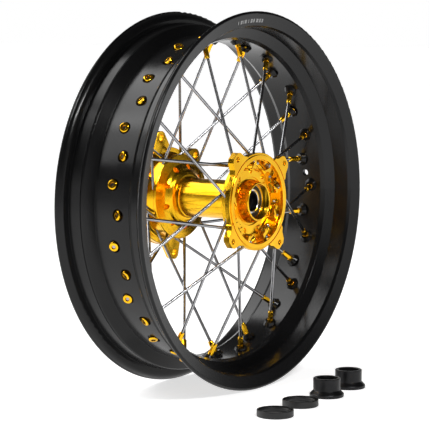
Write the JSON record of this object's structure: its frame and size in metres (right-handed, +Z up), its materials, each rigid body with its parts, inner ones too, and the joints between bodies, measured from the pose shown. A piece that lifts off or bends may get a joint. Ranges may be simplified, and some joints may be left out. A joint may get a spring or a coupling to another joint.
{
  "type": "spoked wheel",
  "caption": "Spoked motorcycle rear wheel without its tyre: black rim, steel spokes in gold nipples, gold hub with disc and sprocket lugs, bearings, and loose seals and axle spacers",
  "frame": {"origin": "wheel centre, on the axle, midway between the rim's flanges", "axes": "+Y along the axle from the brake disc side to the sprocket side; +Z up; +X is the other radial direction"},
  "size_m": [0.465, 0.2844, 0.465],
  "materials": {
    "rim_black": "satin black powder coat",
    "hub_gold": "bright gold anodised, fine turned surface",
    "spoke_steel": "polished stainless",
    "nipple_gold": "gold anodised",
    "race_steel": "ground bearing steel",
    "ball_steel": "polished",
    "cage_steel": "pressed steel",
    "seal_rubber": "smooth nitrile rubber",
    "tube_aluminium": "turned",
    "spring_steel": "drawn wire",
    "spacer_black": "black anodised, turned"
  },
  "bodies": {
    "axle_parts": {"disc_bearing_inner_race": "race_steel", "sprocket_bearing_inner_race": "race_steel", "distance_tube": "tube_aluminium", "axle_seal_1": "seal_rubber", "axle_seal_1_spring": "spring_steel", "axle_seal_2": "seal_rubber", "axle_seal_2_spring": "spring_steel", "axle_spacer_1": "spacer_black", "axle_spacer_2": "spacer_black"},
    "wheel": {"rim": "rim_black", "hub": "hub_gold", "spoke_disc_inner_1": "spoke_steel", "spoke_disc_inner_2": "spoke_steel", "spoke_disc_inner_3": "spoke_steel", "spoke_disc_inner_4": "spoke_steel", "spoke_disc_inner_5": "spoke_steel", "spoke_disc_inner_6": "spoke_steel", "spoke_disc_inner_7": "spoke_steel", "spoke_disc_inner_8": "spoke_steel", "spoke_disc_inner_9": "spoke_steel", "spoke_disc_outer_1": "spoke_steel", "spoke_disc_outer_2": "spoke_steel", "spoke_disc_outer_3": "spoke_steel", "spoke_disc_outer_4": "spoke_steel", "spoke_disc_outer_5": "spoke_steel", "spoke_disc_outer_6": "spoke_steel", "spoke_disc_outer_7": "spoke_steel", "spoke_disc_outer_8": "spoke_steel", "spoke_disc_outer_9": "spoke_steel", "spoke_sprocket_inner_1": "spoke_steel", "spoke_sprocket_inner_2": "spoke_steel", "spoke_sprocket_inner_3": "spoke_steel", "spoke_sprocket_inner_4": "spoke_steel", "spoke_sprocket_inner_5": "spoke_steel", "spoke_sprocket_inner_6": "spoke_steel", "spoke_sprocket_inner_7": "spoke_steel", "spoke_sprocket_inner_8": "spoke_steel", "spoke_sprocket_inner_9": "spoke_steel", "spoke_sprocket_outer_1": "spoke_steel", "spoke_sprocket_outer_2": "spoke_steel", "spoke_sprocket_outer_3": "spoke_steel", "spoke_sprocket_outer_4": "spoke_steel", "spoke_sprocket_outer_5": "spoke_steel", "spoke_sprocket_outer_6": "spoke_steel", "spoke_sprocket_outer_7": "spoke_steel", "spoke_sprocket_outer_8": "spoke_steel", "spoke_sprocket_outer_9": "spoke_steel", "nipples_disc_inner": "nipple_gold", "nipples_disc_outer": "nipple_gold", "nipples_sprocket_inner": "nipple_gold", "nipples_sprocket_outer": "nipple_gold", "disc_bearing_outer_race": "race_steel", "disc_bearing_shields": "seal_rubber", "sprocket_bearing_outer_race": "race_steel", "sprocket_bearing_shields": "seal_rubber"},
    "disc_cage": {"disc_bearing_balls": "ball_steel", "disc_bearing_cage": "cage_steel"},
    "sprocket_cage": {"sprocket_bearing_balls": "ball_steel", "sprocket_bearing_cage": "cage_steel"}
  },
  "joints": [
    {"name": "wheel_spin", "type": "hinge", "parent": "axle_parts", "child": "wheel", "pos_m": [0, 0, 0], "axis": [0, 1, 0], "continuous": true},
    {"name": "disc_cage_spin", "type": "hinge", "parent": "axle_parts", "child": "disc_cage", "pos_m": [0, -0.05, 0], "axis": [0, 1, 0], "continuous": true},
    {"name": "sprocket_cage_spin", "type": "hinge", "parent": "axle_parts", "child": "sprocket_cage", "pos_m": [0, 0.0675, 0], "axis": [0, 1, 0], "continuous": true}
  ],
  "couplings": [
    {"joint": "disc_cage_spin", "follows": "wheel_spin", "ratio": 0.58298},
    {"joint": "sprocket_cage_spin", "follows": "wheel_spin", "ratio": 0.58298}
  ]
}
